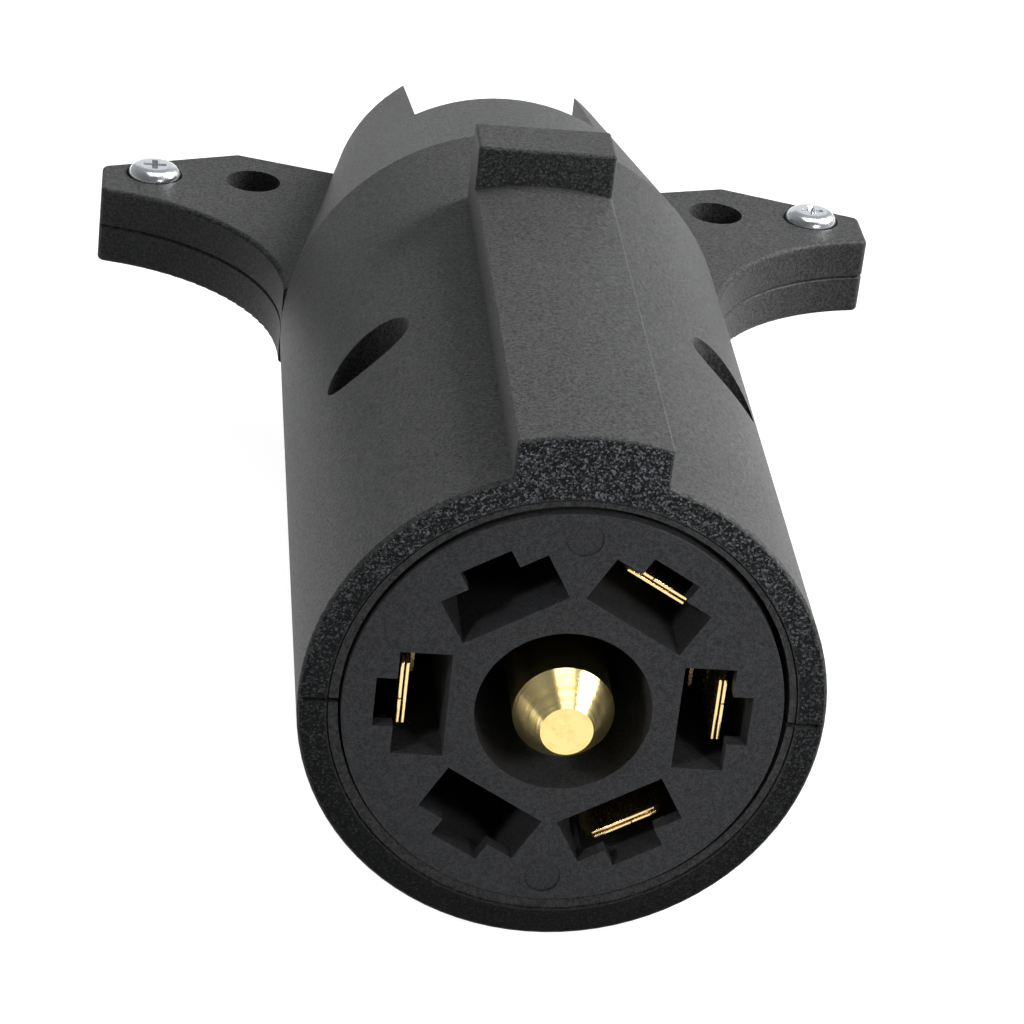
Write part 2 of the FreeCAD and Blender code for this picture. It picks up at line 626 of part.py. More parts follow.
def build_front_insert():
    body = new_body("front_insert")
    back = S["insert_length"]
    disc = sketch_on(body, "XZ_Plane", "insert_disc")
    draw_circle(disc, S["insert_radius"])
    pad(body, disc, "insert_barrel", back, reverse=True)
    face = sketch_on(body, "XZ_Plane", "insert_face_disc")
    draw_circle(face, S["insert_radius"])
    pad(body, face, "insert_face", S["insert_proud"])
    flange = sketch_on(body, "XZ_Plane", "flange_disc")
    draw_circle(flange, S["insert_radius"] + S["flange_rise"])
    bind(flange, "AttachmentOffset.Base.z", -S["flange_front"])
    pad(body, flange, "insert_flange", S["flange_width"], reverse=True)
    well = sketch_on(body, "XZ_Plane", "well_disc")
    draw_circle(well, S["well_radius"])
    bind(well, "AttachmentOffset.Base.z", S["insert_proud"])
    pocket(body, well, "centre_well", S["well_depth"] + S["insert_proud"])
    stud = sketch_on(body, "XZ_Plane", "stud_hole_disc")
    draw_circle(stud, S["stud_radius"] + S["fit_gap"])
    bind(stud, "AttachmentOffset.Base.z", S["insert_proud"])
    pocket(body, stud, "stud_hole", back + S["insert_proud"] + 1)
    inner, outer, stem = S["slot_inner"], S["slot_outer"], S["stem_outer"]
    wide, narrow = S["slot_half_width"], S["stem_half_width"]
    slot = sketch_on(body, "XZ_Plane", "slot_outline")
    draw_outline(slot, [(inner, -wide), (outer, -wide), (outer, -narrow), (stem, -narrow),
                        (stem, narrow), (outer, narrow), (outer, wide), (inner, wide)])
    bind(slot, "AttachmentOffset.Base.z", S["insert_proud"])
    slots = pocket(body, slot, "contact_slot", back + S["insert_proud"] + 1)
    round_pattern(body, slots, "contact_slots", 6)
    relief = sketch_on(body, "XZ_Plane", "relief_outline")
    draw_outline(relief, [(outer - 1, -wide), (stem, -wide), (stem, wide), (outer - 1, wide)])
    bind(relief, "AttachmentOffset.Base.z", -S["slot_plate"])
    reliefs = pocket(body, relief, "spring_relief", back)
    round_pattern(body, reliefs, "spring_reliefs", 6)
    for name, sign in (("upper_mark", 1), ("lower_mark", -1)):
        mark = sketch_on(body, "XZ_Plane", name + "_disc")
        draw_circle(mark, S["mark_radius"], 0, S["mark_reach"] * sign)
        bind(mark, "AttachmentOffset.Base.z", S["insert_proud"])
        body.Tip = pocket(body, mark, name, S["mark_depth"])
    level = -S["insert_proud"]
    rim = edges_inside(body.Tip.Shape, (0, S["insert_radius"]), (level, level), (-side, side))
    rim = [edge for edge in rim if is_circle(body.Tip.Shape.getElement(edge), S["insert_radius"])]
    dress(body, "Fillet", "insert_rim", S["insert_edge_round"], rim)
    finish(body, "front_insert")


# angle of each fitted contact, anticlockwise from +X seen from the plug face, and the angle
# of the rear pole that its wire runs to
CONTACTS = {
    "ground": (0, -45),
    "tail": (60, 45),
    "left": (180, 135),
    "right": (300, 225),
}


def build_retainer():
    """Closes the cavities behind the contacts; each tail and the stud come through it."""
    front, back = S["insert_length"], S["retainer_back"]
    holes = [rod("retainer_stud_hole", S["stud_radius"] + S["fit_gap"], front - 1, back + 1)]
    for name, (angle, _) in CONTACTS.items():
        hole = rod("retainer_hole_" + name, S["tail_radius"] + S["fit_gap"], front - 1, back + 1,
                   x=S["tail_reach"])
        holes.append(turned_copy(hole, "retainer_turn_" + name, angle))
    plate = rod("retainer_plate", S["insert_radius"], front, back)
    finish(cut("insert_retainer", plate, fuse("retainer_holes", holes)), "insert_retainer")


def turned_copy(piece, name, degrees):
    """A compound that holds one piece turned about the barrel's axis."""
    return turn_about_axis(group(name, [piece]), degrees)


def build_centre_pin():
    lead = -S["pin_lead"]
    tip = lead - S["pin_tip_length"]
    seat = S["well_depth"]
    plate_back = S["retainer_back"]
    washer_back = plate_back + S["washer_thickness"]
    nut_back = washer_back + S["nut_thickness"]
    pin = revolve("centre_pin", [
        (0, tip), (S["pin_tip_radius"], tip), (S["pin_radius"], lead), (S["pin_radius"], seat),
        (S["stud_radius"], seat), (S["stud_radius"], nut_back + S["stud_end_gap"]),
        (0, nut_back + S["stud_end_gap"]),
    ])
    finish(pin, "centre_pin")
    hole = S["stud_radius"] + S["thread_gap"]
    washer = cut("pin_washer", rod("washer_disc", S["washer_radius"], plate_back, washer_back),
                 rod("washer_hole", hole, plate_back - 1, washer_back + 1))
    finish(washer, "centre_pin_washer")
    hexagon = doc.addObject("Part::Prism", "nut_hexagon")
    hexagon.Polygon = 6
    bind(hexagon, "Circumradius", S["nut_flats"] / math.sqrt(3))
    bind(hexagon, "Height", S["nut_thickness"])
    place(hexagon, 0, washer_back, 0, ALONG_Y)
    nut = cut("pin_nut", hexagon, rod("nut_hole", hole, washer_back - 1, nut_back + 1))
    finish(nut, "centre_pin_nut")


# ---------------------------------------------------------------------------------------------
# Contacts: a folded spring leaf whose rolled root turns in the block of its terminal
# ---------------------------------------------------------------------------------------------


def build_contact(name, angle):
    mid = S["leaf_mid_radius"]
    wide = S["leaf_half_width"]
    pivot = S["leaf_pivot"]
    gap = S["leaf_gap"] / 2
    sheet_in = (mid - gap - S["leaf_sheet"], mid - gap)
    sheet_out = (mid + gap, mid + gap + S["leaf_sheet"])
    bead = post(f"bead_{name}", S["bead_radius"], -wide, wide, mid, pivot)
    sheets = [
        block(f"leaf_inner_{name}", sheet_in, (S["leaf_front"], pivot), (-wide, wide)),
        block(f"leaf_outer_{name}", sheet_out, (S["leaf_front"], pivot), (-wide, wide)),
    ]
    ears = []
    for end, sign in (("top", 1), ("bottom", -1)):
        ear = new_body(f"ear_{end}_{name}")
        section = sketch_on(ear, "XZ_Plane", f"ear_section_{end}_{name}")
        tip = (wide + S["ear_rise"]) * sign
        out = S["ear_out"]
        draw_outline(section, [
            (sheet_out[0], (wide - S["ear_tuck"]) * sign), (sheet_out[1], (wide - S["ear_tuck"]) * sign),
            (sheet_out[1] + out, tip), (sheet_out[0] + out, tip),
        ])
        bind(section, "AttachmentOffset.Base.z", -S["leaf_front"])
        pad(ear, section, f"ear_pad_{end}_{name}", S["ear_length"], reverse=True)
        ears.append(ear)
    leaf = turn_about_axis(fuse(f"leaf_{name}", sheets + ears + [bead]), angle)
    finish(leaf, f"contact_leaf_{name}")

    block_front = pivot - S["block_lead"]
    block_back = block_front + S["block_length"]
    reach = S["tail_reach"]
    tongue_half = wide * S["tongue_share"]
    body = block(f"terminal_block_{name}", (S["block_inner"], S["block_outer"]),
                 (block_front, block_back), (-wide, wide))
    tongue = block(f"tongue_{name}", (S["tongue_inner"], S["tongue_inner"] + S["tongue_sheet"]),
                   (S["tongue_front"], block_back), (-tongue_half, tongue_half))
    step = block(f"terminal_step_{name}", (reach - S["tail_radius"], S["block_inner"] + S["join_bite"]),
                 (pivot + S["bead_radius"] * 2, block_back), (-tongue_half, tongue_half))
    tail = rod(f"tail_{name}", S["tail_radius"], block_back - S["join_bite"], S["tail_end"], x=reach)
    bead_hole = S["bead_radius"] + S["running_gap"]
    mouth = S["leaf_sheet"] + gap + S["running_gap"]
    hollow = fuse(f"terminal_hollow_{name}", [
        post(f"bead_hole_{name}", bead_hole, -side, side, mid, pivot),
        block(f"leaf_mouth_{name}", (mid - mouth, mid + mouth + S["running_gap"] * 2),
              (block_front - 1, pivot), (-side, side)),
    ])
    solid = fuse(f"terminal_solid_{name}", [body, tongue, step, tail])
    terminal = turn_about_axis(cut(f"terminal_{name}_part", solid, hollow), angle)
    finish(terminal, f"terminal_{name}")


# ---------------------------------------------------------------------------------------------
# Rear socket: a moulded insert with four split brass poles
# ---------------------------------------------------------------------------------------------


def build_rear_insert():
    front, face = S["rear_insert_front"], S["rear_insert_face"]
    flange_back = S["rear_flange_front"] + S["rear_flange_width"]
    solid = fuse("rear_insert_solid", [
        rod("rear_insert_round", S["socket_radius"] - S["fit_gap"], front, face),
        rod("rear_insert_flange", S["rear_flange_radius"], S["rear_flange_front"], flange_back),
    ])
    holes = []
    for name, (_, angle) in CONTACTS.items():
        hole = rod("pole_hole_" + name, S["pole_radius"] + S["thread_gap"], front - 1, face + 1,
                   x=S["pole_circle"])
        holes.append(turned_copy(hole, "pole_turn_" + name, angle))
    finish(cut("rear_insert_part", solid, fuse("pole_holes", holes)), "rear_insert")


def build_pole(name, angle):
    front, face = S["rear_insert_front"], S["rear_insert_face"]
    end = face + S["pole_length"]
    collar = front - S["pole_collar_width"]
    radius = S["pole_radius"]
    nose = S["pole_nose"]
    turned = revolve(f"pole_turned_{name}", [
        (0, S["pole_tail_front"]), (S["pole_tail_radius"], S["pole_tail_front"]),
        (S["pole_tail_radius"], collar), (S["pole_collar_radius"], collar),
        (S["pole_collar_radius"], front), (radius, front), (radius, end - nose),
        (radius - nose, end), (0, end),
    ])
    slit = block(f"pole_slit_{name}", (-side, side), (end - S["pole_slit_depth"], end + 1),
                 (-S["pole_slit"] / 2, S["pole_slit"] / 2))
    pole = cut(f"pole_split_{name}", turned, slit)
    pole.Placement = FreeCAD.Placement(V(0, 0, 0), FreeCAD.Rotation(V(0, -1, 0), angle))
    radians = math.radians(angle)
    bind(pole, "Placement.Base.x", S["pole_circle"] * math.cos(radians))
    bind(pole, "Placement.Base.z", S["pole_circle"] * math.sin(radians))
    finish(pole, f"rear_pole_{name}")


# ---------------------------------------------------------------------------------------------
# Screws
# ---------------------------------------------------------------------------------------------


def pan_head_screw(name, head_radius, head_height, shank_radius, seat, end, x, y):
    """A cross-recessed pan-head screw that stands upright, head up."""
    crown = head_height * S["crown_share"]
    body = new_body(name + "_turned")
    sketch = sketch_on(body, "XZ_Plane", name + "_section")
    top = seat + head_height
    draw_outline(sketch, [
        (0, end), (shank_radius * S["point_share"], end),
        (shank_radius, end + shank_radius * S["point_length"]),
        (shank_radius, seat), (head_radius, seat), (head_radius, top - crown),
        (head_radius * S["crown_flat"], top), (0, top),
    ])
    feature = body.newObject("PartDesign::Revolution", name + "_revolved")
    feature.Profile = sketch
    feature.ReferenceAxis = (sketch, ["V_Axis"])
    feature.Angle = 360
    doc.recompute()
    half_width = S["cross_width"] / 2
    half_span = S["cross_span"] / 2
    floor = top - S["cross_depth"]
    recess = fuse(name + "_recess", [
        block(name + "_recess_x", (-half_span, half_span), (-half_width, half_width),
              (floor, top + 1)),
        block(name + "_recess_y", (-half_width, half_width), (-half_span, half_span),
              (floor, top + 1)),
    ])
    return place(cut(name, body, recess), x, y, 0)


def build_screws():
    barrel = pan_head_screw("barrel_screw", S["barrel_head_radius"], S["barrel_head_height"],
                            S["barrel_shank_radius"], S["barrel_head_seat"],
                            S["barrel_shank_end"], S["barrel_screw_reach"],
                            S["barrel_screw_depth"])
    finish(both_sides("barrel_screw_pair", barrel), "barrel_screws")
    wing = pan_head_screw("wing_screw", S["wing_head_radius"], S["wing_head_height"],
                          S["wing_shank_radius"], S["wing_half_height"] - S["wing_head_sink"],
                          S["wing_shank_end"], S["wing_screw_reach"], S["wing_screw_depth"])
    finish(both_sides("wing_screw_pair", wing), "wing_screws")


# ---------------------------------------------------------------------------------------------
# Wires: each one runs inside the housing from a terminal's tail to a pole's tail
# ---------------------------------------------------------------------------------------------

WIRE_STEPS = 5


def wire_route(start_angle, end_angle):
    """Route points: straight off the tail, an even spiral between, straight onto the pole."""
    first, last = float(S["tail_end"]), float(S["pole_tail_front"])
    run = float(S["wire_first_run"])
    reach = float(S["tail_reach"])
    inner = float(S["pole_circle"])
    stations = [(first, reach, start_angle), (first + run, reach - float(S["wire_relax"]), start_angle)]
    for step in range(1, WIRE_STEPS):
        share = step / WIRE_STEPS
        ease = share * share * (3 - 2 * share)
        y = first + run + (last - first - 2 * run) * share
        radius = reach + (inner - reach) * ease
        stations.append((y, radius, start_angle + (end_angle - start_angle) * ease))
    stations += [(last - run, inner, end_angle), (last, inner, end_angle)]
    route = []
    for y, radius, angle in stations:
        radians = math.radians(angle)
        route.append(V(radius * math.cos(radians), y, radius * math.sin(radians)))
    return route


def rounded_path(points):
    """Straight runs joined by tangent arcs, each as large as its two runs allow."""
    edges = []
    radii = []
    start = points[0]
    for before, corner, after in zip(points, points[1:], points[2:]):
        incoming = (corner - before).normalize()
        outgoing = (after - corner).normalize()
        half_turn = incoming.getAngle(outgoing) / 2
        trim = 0.45 * min((corner - before).Length, (after - corner).Length)
        radii.append(trim / math.tan(half_turn))
        enter = corner - incoming * trim
        leave = corner + outgoing * trim
        inward = (outgoing - incoming).normalize()
        middle = corner + inward * (radii[-1] / math.cos(half_turn) - radii[-1])
        edges.append(Part.LineSegment(start, enter).toShape())
        edges.append(Part.Arc(enter, middle, leave).toShape())
        start = leave
    edges.append(Part.LineSegment(start, points[-1]).toShape())
    return Part.Wire(edges), radii


def build_wire(name, start_angle, end_angle):
    points = wire_route(start_angle, end_angle)
    path, radii = rounded_path(points)
    along = (points[1] - points[0]).normalize()
    section = Part.Wire([Part.Circle(points[0], along, float(S["wire_radius"])).toShape()])
    tube = path.makePipeShell([section], True, False)
    expected = math.pi * float(S["wire_radius"]) ** 2 * path.Length
    if abs(tube.Volume / expected - 1) > 0.01:
        raise RuntimeError(f"wire {name}: {tube.Volume:.1f} where {expected:.1f} is due")
    smallest = min(radii)
    print(f"wire_{name}: length {path.Length:.1f}, smallest bend radius {smallest:.1f}")
    wire = doc.addObject("Part::Feature", f"wire_{name}")
    wire.Shape = tube
    wire.Placement = FreeCAD.Placement()
    finish(wire, f"wire_{name}")


build_shells()
build_front_insert()
build_retainer()
build_centre_pin()
for circuit, (contact_angle, pole_angle) in CONTACTS.items():
    build_contact(circuit, contact_angle)
    build_pole(circuit, pole_angle)
    build_wire(circuit, contact_angle, pole_angle)
build_rear_insert()
build_screws()

doc.recompute()
for item in doc.Objects:
    if "Invalid" in item.State or "Error" in item.State:
        raise RuntimeError(f"{item.Name}: {item.State}")
for item in nodes:
    if item.Shape.isNull() or not item.Shape.isValid():
        raise RuntimeError(f"{item.Label} has no valid shape")

os.makedirs("parts", exist_ok=True)
for item in nodes:
    item.Shape.exportStep(f"parts/{item.Label}.step")
    solids = len(item.Shape.Solids)
    print(f"{item.Label}: {solids} solid(s), {item.Shape.Volume:.1f} mm3")
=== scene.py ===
from math import pi, radians

import bpy
from mathutils import Matrix, Vector


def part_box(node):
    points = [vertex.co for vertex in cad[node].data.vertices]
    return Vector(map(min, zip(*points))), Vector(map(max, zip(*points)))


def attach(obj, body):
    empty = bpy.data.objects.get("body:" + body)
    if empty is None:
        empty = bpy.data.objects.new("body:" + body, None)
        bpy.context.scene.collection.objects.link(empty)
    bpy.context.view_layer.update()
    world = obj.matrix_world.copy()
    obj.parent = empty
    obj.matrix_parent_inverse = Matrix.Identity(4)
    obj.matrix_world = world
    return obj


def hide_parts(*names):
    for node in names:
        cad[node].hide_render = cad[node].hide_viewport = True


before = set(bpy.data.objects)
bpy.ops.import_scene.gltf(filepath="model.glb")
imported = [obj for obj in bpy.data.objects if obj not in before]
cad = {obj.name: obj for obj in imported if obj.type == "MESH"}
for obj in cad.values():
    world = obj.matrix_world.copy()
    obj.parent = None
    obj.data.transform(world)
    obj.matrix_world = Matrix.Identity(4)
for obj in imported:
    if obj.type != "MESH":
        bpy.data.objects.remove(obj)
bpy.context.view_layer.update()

# ---------------------------------------------------------------------------------------------
# Table, light and camera.  The adapter lies on a bright white table.  The main lamp stands high
# at its right, weak ones hang above and behind it, two small spots touch the plug face, and the
# room glows a little more from below, from behind and from the right.
# ---------------------------------------------------------------------------------------------


def add(tree, kind, inputs=None, **settings):
    """A node with its settings, and the values or links of its inputs."""
    node = tree.nodes.new(kind)
    for key, value in settings.items():
        setattr(node, key, value)
    for key, value in (inputs or {}).items():
        if isinstance(value, bpy.types.NodeSocket):
            tree.links.new(value, node.inputs[key])
        else:
            node.inputs[key].default_value = value
    return node


def arithmetic(tree, operation, first, second=0.0):
    return add(tree, "ShaderNodeMath", {0: first, 1: second}, operation=operation).outputs[0]


table_size = 4.0
table_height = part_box("lower_shell")[0].z
table_tone = 0.20
table_roughness = 0.8
table_glow = 0.95

bpy.ops.object.select_all(action="DESELECT")
bpy.ops.mesh.primitive_plane_add(size=table_size, location=(0, 0, table_height))
table = bpy.context.object
table.name = "table"
white_table = bpy.data.materials.new("white_table")
white_table.use_nodes = True
table_paint = white_table.node_tree.nodes["Principled BSDF"]
table_paint.inputs["Base Color"].default_value = (table_tone, table_tone, table_tone, 1)
table_paint.inputs["Roughness"].default_value = table_roughness
table_paint.inputs["Emission Color"].default_value = (1, 1, 1, 1)
table_paint.inputs["Emission Strength"].default_value = table_glow
table.data.materials.append(white_table)
table.visible_diffuse = False


plug_face = (0, 0, 0)
face_upper_right = (0.035, 0, 0.025)
adapter_middle = (0, 0.05, 0)


def soft_box(name, place, size, power, aim_at=adapter_middle, spread=180):
    """A square area light, in metres, watts and degrees."""
    light = bpy.data.lights.new(name, "AREA")
    light.shape = "SQUARE"
    light.size = size
    light.energy = power
    light.spread = radians(spread)
    lamp = bpy.data.objects.new(name, light)
    lamp.location = place
    aim = Vector(aim_at) - Vector(place)
    lamp.rotation_euler = aim.to_track_quat("-Z", "Y").to_euler()
    bpy.context.scene.collection.objects.link(lamp)


soft_box("right_high_box", (0.55, 0.15, 0.55), 0.40, 13.6)
soft_box("right_back_box", (0.60, 0.55, 0.30), 0.40, 0.3)
soft_box("front_right_box", (0.10, -0.12, 0.09), 0.05, 0.014, face_upper_right, 40)
soft_box("front_left_glint", (-0.14, -0.10, 0.12), 0.03, 0.004, plug_face, 25)
soft_box("top_box", (0.00, 0.05, 0.80), 0.50, 1.9)
soft_box("back_low_box", (0.00, 0.80, 0.12), 0.50, 0.3)

room_slope = (0.08, 0.15, -0.12)
room_level = 0.34
room_colour = (0.96, 0.99, 1.0, 1)

studio = bpy.data.worlds.new("studio")
studio.use_nodes = True
sky = studio.node_tree
heading = add(sky, "ShaderNodeTexCoord").outputs["Generated"]
slope = add(sky, "ShaderNodeVectorMath", {0: heading, 1: room_slope},
            operation="DOT_PRODUCT").outputs["Value"]
background = sky.nodes["Background"]
background.inputs["Color"].default_value = room_colour
sky.links.new(arithmetic(sky, "ADD", slope, room_level), background.inputs["Strength"])
bpy.context.scene.world = studio
bpy.context.scene.view_settings.view_transform = "Standard"

camera_place = (-0.0384, -0.2522, 0.1463)
camera_azimuth = radians(7.33)
camera_elevation = radians(26.87)
camera_roll = radians(6.76)
camera_lens = 129.8
camera_sensor = 36

camera_data = bpy.data.cameras.new("camera")
camera_data.lens = camera_lens
camera_data.sensor_width = camera_sensor
camera = bpy.data.objects.new("camera", camera_data)
camera.matrix_world = (
    Matrix.Translation(camera_place)
    @ Matrix.Rotation(-camera_azimuth, 4, "Z")
    @ Matrix.Rotation(pi / 2 - camera_elevation, 4, "X")
    @ Matrix.Rotation(camera_roll, 4, "Z")
)
bpy.context.scene.collection.objects.link(camera)
bpy.context.scene.camera = camera

# ---------------------------------------------------------------------------------------------
# Upper and lower shell: glass-filled black nylon, injection moulded in a tool with an
# etched grain.  The parting faces at the plug end are spark-eroded: pitted, with a little
# painted glint in light chips of colour, brighter the higher they lie.
# ---------------------------------------------------------------------------------------------


def new_finish(name):
    """A material with its node tree and its main shader."""
    finish = bpy.data.materials.new(name)
    finish.use_nodes = True
    return finish, finish.node_tree, finish.node_tree.nodes["Principled BSDF"]


def noise(tree, coordinates, grain, detail=2.0, roughness=0.5):
    """Noise whose blobs are about one grain across, in metres."""
    return add(tree, "ShaderNodeTexNoise", {
        "Vector": coordinates, "Scale": 1 / grain, "Detail": detail, "Roughness": roughness,
    }).outputs["Fac"]


def remap(tree, value, low, high, to_low, to_high):
    return add(tree, "ShaderNodeMapRange", {
        "Value": value, "From Min": low, "From Max": high, "To Min": to_low, "To Max": to_high,
    }).outputs["Result"]


def colour_mix(tree, factor, first, second):
    mix = add(tree, "ShaderNodeMix", {"Factor": factor}, data_type="RGBA")
    for socket, colour in ((mix.inputs[6], first), (mix.inputs[7], second)):
        if isinstance(colour, bpy.types.NodeSocket):
            tree.links.new(colour, socket)
        else:
            socket.default_value = colour
    return mix.outputs[2]


def relief(tree, height, strength, depth, normal=None):
    """A bump of the given depth in metres."""
    bump = add(tree, "ShaderNodeBump", {"Height": height, "Strength": strength, "Distance": depth})
    if normal is not None:
        tree.links.new(normal, bump.inputs["Normal"])
    return bump.outputs["Normal"]


def paint(node_name, finish):
    """Gives a CAD node one finish all over."""
    mesh = cad[node_name].data
    for slot_number in range(len(mesh.materials)):
        mesh.materials[slot_number] = finish


fine_grain, coarse_grain, cloud_grain = 0.00011, 0.00032, 0.014
fine_share, coarse_share = 0.65, 0.35
grain_share, cloud_share = 0.8, 0.2
grain_depth = 0.00005
chip_size, chip_depth = 0.00015, 0.00005
# painted glint: the light grey of the chips on the eroded faces stands in for glints
painted_glint_colour = (0.30, 0.32, 0.35, 1)
barrel_bottom, rib_top = -0.022, 0.0235
hook_foot = 0.0211
hook_glitter = 0.3
eroded_shade, eroded_gloss = 0.85, 0.3
sheen_weight, sheen_roughness = 0.06, 0.40


def moulded_plastic(name, dark, light, rough, gloss, glitter=0.0, glitter_start=1.0):
    """Black moulding with an etched grain.

    Its faces square to the plug end get spark-eroded pits outside the start radius, and light
    chips of painted glint in their colour. Both grow the higher the faces lie, so the painted
    glint is brighter towards the top: most of all on the key rib, and less on the hook behind it.
    """
    finish, tree, shader = new_finish(name)
    where = add(tree, "ShaderNodeTexCoord")
    place = where.outputs["Object"]
    fine = noise(tree, place, fine_grain, detail=2, roughness=0.8)
    coarse = noise(tree, place, coarse_grain, detail=2, roughness=0.6)
    grain = arithmetic(tree, "ADD", arithmetic(tree, "MULTIPLY", fine, fine_share),
                       arithmetic(tree, "MULTIPLY", coarse, coarse_share))
    cloud = noise(tree, place, cloud_grain, detail=3)
    blend = arithmetic(tree, "ADD", remap(tree, grain, 0.43, 0.57, 0.0, grain_share),
                       arithmetic(tree, "MULTIPLY", cloud, cloud_share))

    parts = add(tree, "ShaderNodeSeparateXYZ", {0: place}).outputs
    front = add(tree, "ShaderNodeSeparateXYZ", {0: where.outputs["Normal"]}).outputs["Y"]
    off_axis = add(tree, "ShaderNodeCombineXYZ", {"X": parts["X"], "Z": parts["Z"]}).outputs[0]
    radius = add(tree, "ShaderNodeVectorMath", {0: off_axis}, operation="LENGTH").outputs["Value"]
    ring = remap(tree, radius, glitter_start, glitter_start + 0.0002, 0.0, 1.0)
    square = remap(tree, front, -0.99, -0.95, 1.0, 0.0)
    end_face = arithmetic(tree, "LESS_THAN", parts["Y"], 0.001)
    hook_face = remap(tree, parts["Z"], hook_foot, hook_foot + 0.0002, 0.0, hook_glitter)
    outer = arithmetic(tree, "MULTIPLY", ring, arithmetic(tree, "MAXIMUM", end_face, hook_face))
    eroded = arithmetic(tree, "MULTIPLY", square, outer)
    # painted glint brighter towards the top: pits and glint chips grow with height
    height = remap(tree, parts["Z"], barrel_bottom, rib_top, 0.35, 1.0)
    raised = arithmetic(tree, "POWER", height, 3.0)
    reach = arithmetic(tree, "MULTIPLY", arithmetic(tree, "MULTIPLY", eroded, raised), glitter)
    cells = add(tree, "ShaderNodeTexVoronoi", {"Vector": place, "Scale": 1 / chip_size})
    chip = add(tree, "ShaderNodeSeparateColor", {0: cells.outputs["Color"]}).outputs["Red"]
    # painted glint: chips of light colour where the eroded faces would catch the light
    spark = arithmetic(tree, "MULTIPLY", arithmetic(tree, "POWER", chip, 4.0), reach)

    base = colour_mix(tree, arithmetic(tree, "MULTIPLY", eroded, eroded_shade),
                      colour_mix(tree, blend, dark, light), dark)
    tree.links.new(colour_mix(tree, spark, base, painted_glint_colour), shader.inputs["Base Color"])
    tree.links.new(remap(tree, grain, 0.35, 0.65, rough + 0.07, rough - 0.07),
                   shader.inputs["Roughness"])
    etched = relief(tree, grain, 1.0, grain_depth)
    pits = arithmetic(tree, "MULTIPLY", chip, reach)
    tree.links.new(relief(tree, pits, 0.8, chip_depth, etched), shader.inputs["Normal"])
    tree.links.new(remap(tree, eroded, 0.0, 1.0, gloss, gloss * eroded_gloss),
                   shader.inputs["Specular IOR Level"])
    shader.inputs["Sheen Weight"].default_value = sheen_weight
    shader.inputs["Sheen Roughness"].default_value = sheen_roughness
    return finish


shell_grain = moulded_plastic("shell_grain", dark=(0.005, 0.005, 0.005, 1),
                              light=(0.058, 0.059, 0.058, 1), rough=0.48, gloss=0.10,
                              glitter=0.65, glitter_start=0.0188)
for half in ("upper_shell", "lower_shell"):
    paint(half, shell_grain)

# ---------------------------------------------------------------------------------------------
# Front insert and retainer: a finer, smoother black moulding that carries the contacts.
# ---------------------------------------------------------------------------------------------

insert_satin = moulded_plastic("insert_satin", dark=(0.007, 0.007, 0.008, 1),
                               light=(0.038, 0.039, 0.042, 1), rough=0.46, gloss=0.18)
for moulding in ("front_insert", "insert_retainer"):
    paint(moulding, insert_satin)

# ---------------------------------------------------------------------------------------------
# Centre pin, its nut and the four rear poles: free-machining brass, turned on an automatic
# lathe, so every face carries fine rings about the axis.
# ---------------------------------------------------------------------------------------------


rings_per_metre, ring_depth = 7000, 0.000012
stain_size = 0.0012
stain_share, ring_weight = 0.45, 0.55
amber, straw = (0.72, 0.50, 0.13, 1), (1.0, 0.82, 0.38, 1)
# painted shade: darker brass for the faces square to the axis, which look towards the plug end
painted_shade_brass = (0.45, 0.30, 0.06, 1)


def turned_brass(name, axis_x, axis_z):
    """Bright brass with tool rings about a Y axis through the given X and Z.

    A face square to the axis gets painted shade, a darker colour, and has fainter rings.
    """
    finish, tree, shader = new_finish(name)
    where = add(tree, "ShaderNodeTexCoord")
    place = where.outputs["Object"]
    parts = add(tree, "ShaderNodeSeparateXYZ", {0: place})
    off_x = arithmetic(tree, "SUBTRACT", parts.outputs["X"], axis_x)
    off_z = arithmetic(tree, "SUBTRACT", parts.outputs["Z"], axis_z)
    square_x = arithmetic(tree, "MULTIPLY", off_x, off_x)
    square_z = arithmetic(tree, "MULTIPLY", off_z, off_z)
    radius = arithmetic(tree, "SQRT", arithmetic(tree, "ADD", square_x, square_z), 0)
    along = arithmetic(tree, "SUBTRACT", radius, parts.outputs["Y"])
    rings = add(tree, "ShaderNodeTexNoise", {"W": along, "Scale": rings_per_metre, "Detail": 3},
                noise_dimensions="1D").outputs["Fac"]
    stain = noise(tree, place, stain_size, detail=5, roughness=0.7)
    end_on = add(tree, "ShaderNodeSeparateXYZ", {0: where.outputs["Normal"]}).outputs["Y"]
    ring_share = remap(tree, end_on, -0.98, -0.90, 0.12, 0.55)
    even = add(tree, "ShaderNodeMix", {"Factor": ring_share, "A": 0.56, "B": rings})
    patina = arithmetic(tree, "ADD", arithmetic(tree, "MULTIPLY", stain, stain_share),
                        arithmetic(tree, "MULTIPLY", even.outputs[0], ring_weight))
    colour = colour_mix(tree, remap(tree, patina, 0.36, 0.54, 0, 1), amber, straw)
    # painted shade on faces square to the axis, darkening their reflection
    painted_end_shade = remap(tree, end_on, -0.98, -0.90, 0.35, 0.0)
    tree.links.new(colour_mix(tree, painted_end_shade, colour, painted_shade_brass), shader.inputs["Base Color"])
    tree.links.new(remap(tree, patina, 0.3, 0.7, 0.30, 0.14), shader.inputs["Roughness"])
    tree.links.new(relief(tree, rings, 0.7, ring_depth), shader.inputs["Normal"])
    shader.inputs["Metallic"].default_value = 1.0
    return finish


paint("centre_pin", turned_brass("pin_brass", 0, 0))
paint("centre_pin_nut", turned_brass("nut_brass", 0, 0))
circuits = ("ground", "tail", "left", "right")
for circuit in circuits:
    low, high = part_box(f"rear_pole_{circuit}")
    pole_middle = (low + high) / 2
    paint(f"rear_pole_{circuit}",
          turned_brass(f"pole_brass_{circuit}", pole_middle.x, pole_middle.z))

